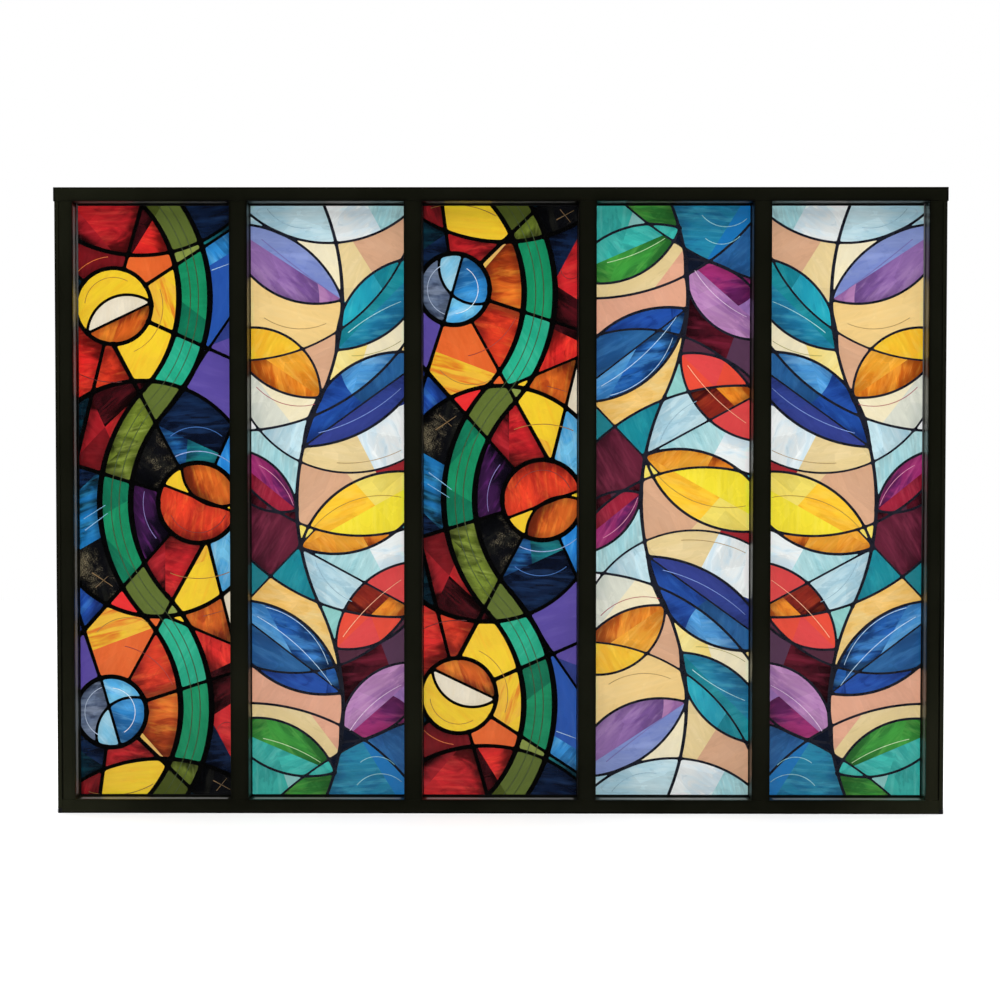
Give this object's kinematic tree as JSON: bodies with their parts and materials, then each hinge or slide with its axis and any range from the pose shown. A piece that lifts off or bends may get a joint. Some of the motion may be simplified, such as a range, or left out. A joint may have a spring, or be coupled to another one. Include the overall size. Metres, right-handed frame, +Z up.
{
  "type": "interior glass partition",
  "caption": "Fixed interior glass partition: slim black metal frame with mullions and tall decorative glass panes, built in between a sill, two jambs and a head.",
  "frame": {"origin": "middle of the underside of the bottom rail, the face that stands on the sill", "axes": "+X along the partition to the right seen from the front, -Y out of the front face, the side from which the deep reveals show, +Z up"},
  "size_m": [1.533, 0.05, 1.078],
  "materials": {
    "black_powder_coat": "fine satin black powder coat on extruded aluminium",
    "black_cap": "moulded black plastic",
    "glazing_rubber": "matt black extruded rubber",
    "decorative_glass": "smooth glass with a printed many-coloured leaded-light design"
  },
  "bodies": {
    "root": {"top_rail": "black_powder_coat", "bottom_rail": "black_powder_coat", "left_stile": "black_powder_coat", "right_stile": "black_powder_coat", "mullion_1": "black_powder_coat", "mullion_2": "black_powder_coat", "mullion_3": "black_powder_coat", "mullion_4": "black_powder_coat", "left_side_channel": "black_powder_coat", "right_side_channel": "black_powder_coat", "left_foot_cap": "black_cap", "right_foot_cap": "black_cap", "left_rail_end_cap": "black_cap", "right_rail_end_cap": "black_cap", "glass_pane_1": "decorative_glass", "glass_pane_2": "decorative_glass", "glass_pane_3": "decorative_glass", "glass_pane_4": "decorative_glass", "glass_pane_5": "decorative_glass", "front_gasket_1": "glazing_rubber", "front_gasket_2": "glazing_rubber", "front_gasket_3": "glazing_rubber", "front_gasket_4": "glazing_rubber", "front_gasket_5": "glazing_rubber", "back_gasket_1": "glazing_rubber", "back_gasket_2": "glazing_rubber", "back_gasket_3": "glazing_rubber", "back_gasket_4": "glazing_rubber", "back_gasket_5": "glazing_rubber", "bead_1_left": "black_powder_coat", "bead_1_right": "black_powder_coat", "bead_1_top": "black_powder_coat", "bead_1_bottom": "black_powder_coat", "bead_2_left": "black_powder_coat", "bead_2_right": "black_powder_coat", "bead_2_top": "black_powder_coat", "bead_2_bottom": "black_powder_coat", "bead_3_left": "black_powder_coat", "bead_3_right": "black_powder_coat", "bead_3_top": "black_powder_coat", "bead_3_bottom": "black_powder_coat", "bead_4_left": "black_powder_coat", "bead_4_right": "black_powder_coat", "bead_4_top": "black_powder_coat", "bead_4_bottom": "black_powder_coat", "bead_5_left": "black_powder_coat", "bead_5_right": "black_powder_coat", "bead_5_top": "black_powder_coat", "bead_5_bottom": "black_powder_coat"}
  },
  "joints": []
}
